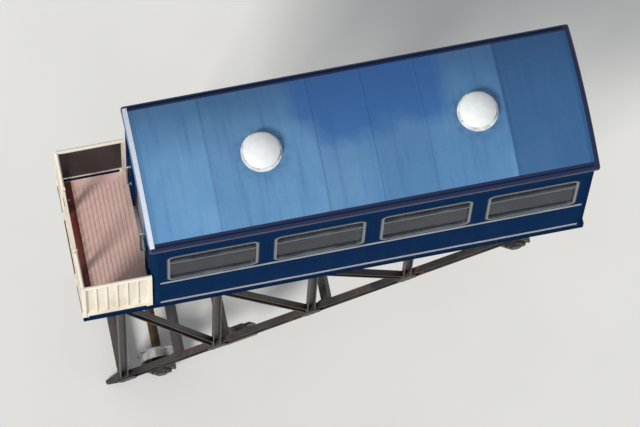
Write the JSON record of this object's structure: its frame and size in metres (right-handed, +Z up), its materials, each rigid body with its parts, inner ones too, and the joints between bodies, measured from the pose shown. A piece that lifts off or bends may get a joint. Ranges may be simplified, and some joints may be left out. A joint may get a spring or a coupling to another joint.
{
  "type": "cliff funicular car",
  "caption": "Level saloon with an open railed end platform on a wedge-shaped steel underframe and two rail wheelsets, for a steep rope-hauled track.",
  "frame": {"origin": "on the rail-head plane, midway between the four wheels", "axes": "+X uphill and level, +Z up, +Y to the left of someone who faces uphill; the rails rise along +X at 32.6 degrees"},
  "size_m": [5.48, 1.61, 5.6072],
  "materials": {
    "roof_blue": "satin",
    "vent_white": "satin",
    "body_blue": "gloss",
    "frame_black": "satin",
    "rail_steel": "rolled",
    "bright_aluminium": "satin",
    "window_glass": "clear",
    "bench_wood": "varnished",
    "deck_floor": "painted",
    "railing_cream": "gloss",
    "headstock_red": "satin",
    "buffer_rubber": "matt",
    "lamp_white": "opal"
  },
  "bodies": {
    "car": {"top_chords": "frame_black", "low_chords": "frame_black", "frame_posts": "frame_black", "frame_diagonals": "frame_black", "axle_horns": "frame_black", "cross_members": "frame_black", "axle_boxes": "frame_black", "floor_bearers": "frame_black", "sole_bars": "body_blue", "headstocks": "headstock_red", "platform_floor": "deck_floor", "saloon_floor": "deck_floor", "corner_posts": "body_blue", "side_wall_left": "body_blue", "side_wall_right": "body_blue", "window_frames": "bright_aluminium", "side_glass": "window_glass", "roof": "roof_blue", "roof_vents": "vent_white", "end_wall_lower": "body_blue", "end_wall_upper": "body_blue", "end_glass": "window_glass", "door_tracks": "bright_aluminium", "platform_railings": "railing_cream", "railing_balusters": "railing_cream", "bench_brackets": "frame_black", "bench_slats_left": "bench_wood", "bench_slats_right": "bench_wood", "grab_poles": "bright_aluminium", "ceiling_lamps": "lamp_white", "draw_gear": "rail_steel", "track_brakes": "rail_steel", "buffers": "buffer_rubber"},
    "wheelset_lower": {"wheelset_lower": "rail_steel"},
    "wheelset_upper": {"wheelset_upper": "rail_steel"},
    "gate": {"platform_gate": "railing_cream", "gate_balusters": "railing_cream"},
    "equaliser": {"equaliser": "rail_steel", "rope_sockets": "rail_steel"},
    "door_lower_left": {"door_lower_left": "bright_aluminium", "door_glass_lower_left": "window_glass"},
    "door_lower_right": {"door_lower_right": "bright_aluminium", "door_glass_lower_right": "window_glass"},
    "door_upper_left": {"door_upper_left": "bright_aluminium", "door_glass_upper_left": "window_glass"},
    "door_upper_right": {"door_upper_right": "bright_aluminium", "door_glass_upper_right": "window_glass"}
  },
  "joints": [
    {"name": "wheelset_lower_roll", "type": "hinge", "parent": "car", "child": "wheelset_lower", "pos_m": [-2.06314, 0, -1.07016], "axis": [0, 1, 0], "continuous": true},
    {"name": "wheelset_upper_roll", "type": "hinge", "parent": "car", "child": "wheelset_upper", "pos_m": [1.83686, 0, 1.42399], "axis": [0, 1, 0], "continuous": true},
    {"name": "gate_swing", "type": "hinge", "parent": "car", "child": "gate", "pos_m": [-2.88, -0.325, 2.43922], "axis": [0, 0, -1], "range_deg": [0, 90]},
    {"name": "equaliser_turn", "type": "hinge", "parent": "car", "child": "equaliser", "pos_m": [2.30133, 0, 1.56079], "axis": [-0.5388, 0, 0.8425], "range_deg": [-8, 8]},
    {"name": "door_lower_left_slide", "type": "slide", "parent": "car", "child": "door_lower_left", "axis": [0, 1, 0], "range_m": [0, 0.34]},
    {"name": "door_lower_right_slide", "type": "slide", "parent": "car", "child": "door_lower_right", "axis": [0, -1, 0], "range_m": [0, 0.34]},
    {"name": "door_upper_left_slide", "type": "slide", "parent": "car", "child": "door_upper_left", "axis": [0, 1, 0], "range_m": [0, 0.34]},
    {"name": "door_upper_right_slide", "type": "slide", "parent": "car", "child": "door_upper_right", "axis": [0, -1, 0], "range_m": [0, 0.34]}
  ],
  "couplings": [
    {"joint": "door_lower_right_slide", "follows": "door_lower_left_slide", "ratio": 1},
    {"joint": "door_upper_right_slide", "follows": "door_upper_left_slide", "ratio": 1}
  ]
}
